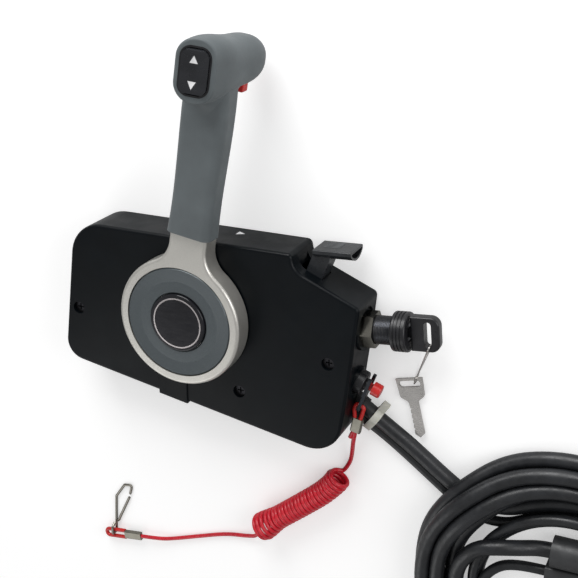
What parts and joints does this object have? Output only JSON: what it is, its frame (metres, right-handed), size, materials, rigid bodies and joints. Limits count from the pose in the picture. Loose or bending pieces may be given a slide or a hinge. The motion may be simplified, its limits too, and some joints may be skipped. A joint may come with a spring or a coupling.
{
  "type": "boat throttle control lever",
  "caption": "Side-mount remote control box for an outboard motor, with throttle and shift lever, key switch, stop switch lanyard and coiled harness.",
  "frame": {"origin": "lever shaft axis on the flat mounting back", "axes": "+X along the case to the key switch end, +Y up on the boat, +Z out of the lever side along the lever shaft"},
  "size_m": [0.5442, 0.5386, 0.0867],
  "materials": {
    "case_plastic": "satin",
    "black_steel": "satin",
    "bronze": "satin",
    "steel": "satin",
    "gear_steel": "satin",
    "switch_plastic": "satin",
    "lever_silver": "satin",
    "disc_grey": "satin",
    "cap_gloss": "gloss",
    "ring_chrome": "gloss",
    "grip_grey": "matte",
    "red_plastic": "satin",
    "dark_metal": "satin",
    "nut_chrome": "satin",
    "key_nickel": "satin",
    "cord_red": "satin",
    "crimp_grey": "satin",
    "cable_jacket": "satin",
    "tie_nylon": "satin"
  },
  "bodies": {
    "control": {"housing_cover": "case_plastic", "back_cover": "case_plastic", "cover_screws": "black_steel", "access_plate": "case_plastic", "front_bush": "bronze", "rear_bush": "bronze", "shift_pin": "steel", "detent_roller": "steel", "detent_spring": "steel", "neutral_switch": "switch_plastic", "warning_buzzer": "switch_plastic", "fast_idle_pin": "steel", "key_switch_body": "dark_metal", "key_switch_nut": "nut_chrome", "key_collar": "switch_plastic", "stop_switch_body": "switch_plastic", "stop_switch_nut": "switch_plastic", "cable_grommet": "cable_jacket", "cable_tie": "tie_nylon", "main_cable": "cable_jacket", "trim_cable": "cable_jacket", "cable_coil": "cable_jacket", "main_tail": "cable_jacket", "trim_tail": "cable_jacket", "main_plug": "switch_plastic", "trim_plug": "switch_plastic"},
    "lever": {"lever_arm": "lever_silver", "hub_disc": "disc_grey", "centre_cap": "cap_gloss", "cap_ring": "ring_chrome", "hub_bolt": "steel", "lever_shaft": "steel", "drive_gear": "gear_steel", "throttle_arm": "steel", "detent_cam": "gear_steel", "grip": "grip_grey", "grip_back_cover": "grip_grey", "grip_screws": "black_steel", "rocker_frame": "switch_plastic", "rocker_pin": "steel"},
    "shift_shaft": {"shift_gear": "gear_steel", "shift_arm": "steel"},
    "rocker": {"trim_rocker": "switch_plastic"},
    "trigger": {"lock_trigger": "red_plastic"},
    "fast_idle": {"fast_idle_lever": "switch_plastic"},
    "ignition_key": {"lock_plug": "dark_metal", "key": "switch_plastic"},
    "wire_loop": {"key_wire": "key_nickel"},
    "second_key": {"spare_key": "key_nickel"},
    "stop_knob": {"stop_button": "red_plastic"},
    "lanyard": {"lock_plate": "dark_metal", "lanyard_loop": "cord_red", "lanyard_crimp": "crimp_grey", "lanyard_cord": "cord_red", "lanyard_coil": "cord_red", "lanyard_lead": "cord_red", "hook_crimp": "crimp_grey", "lanyard_eye": "cord_red", "snap_hook": "key_nickel"},
    "gate": {"hook_gate": "key_nickel"}
  },
  "joints": [
    {"name": "lever_swing", "type": "hinge", "parent": "control", "child": "lever", "pos_m": [0, 0, 0], "axis": [0, 0, 1], "range_deg": [-55, 80]},
    {"name": "shift_turn", "type": "hinge", "parent": "control", "child": "shift_shaft", "pos_m": [-0.044, 0, 0], "axis": [0, 0, 1], "range_deg": [-80, 55]},
    {"name": "trim_rock", "type": "hinge", "parent": "lever", "child": "rocker", "pos_m": [0.03405, 0.1971, 0.07957], "axis": [0.9583, -0.1518, -0.2419], "range_deg": [-7, 7], "stiffness_Nm_per_rad": 0.2},
    {"name": "neutral_lock_lift", "type": "slide", "parent": "lever", "child": "trigger", "axis": [0.1564, 0.9877, 0], "range_m": [0, 0.004], "stiffness_N_per_m": 500, "springref_m": -0.001},
    {"name": "fast_idle_lift", "type": "hinge", "parent": "control", "child": "fast_idle", "pos_m": [0.097, 0.0373, 0], "axis": [0, 0, 1], "range_deg": [0, 30]},
    {"name": "key_turn", "type": "hinge", "parent": "control", "child": "ignition_key", "pos_m": [0.1378, 0.005, 0.02], "axis": [0.9952, 0.0976, 0], "range_deg": [-80, 0]},
    {"name": "wire_swing", "type": "hinge", "parent": "ignition_key", "child": "wire_loop", "pos_m": [0.1889, -0.0016, 0.02], "axis": [0.9952, 0.0976, 0], "range_deg": [-7, 0]},
    {"name": "second_key_swing", "type": "hinge", "parent": "wire_loop", "child": "second_key", "pos_m": [0.172, -0.0373, 0.0027], "axis": [0.9703, 0.2419, 0], "range_deg": [-10, 0]},
    {"name": "stop_press", "type": "slide", "parent": "control", "child": "stop_knob", "axis": [-0.9397, 0.342, 0], "range_m": [0, 0.0008], "stiffness_N_per_m": 1500, "springref_m": -0.001},
    {"name": "lock_plate_pull", "type": "slide", "parent": "control", "child": "lanyard", "axis": [-0.1416, -0.9899, 0], "range_m": [0, 0.005]},
    {"name": "gate_open", "type": "hinge", "parent": "lanyard", "child": "gate", "pos_m": [-0.1046, -0.2383, 0.0013], "axis": [0, 0, 1], "range_deg": [0, 14], "stiffness_Nm_per_rad": 0.02, "springref_deg": -2.86}
  ],
  "couplings": [
    {"joint": "shift_turn", "follows": "lever_swing", "ratio": -1}
  ]
}
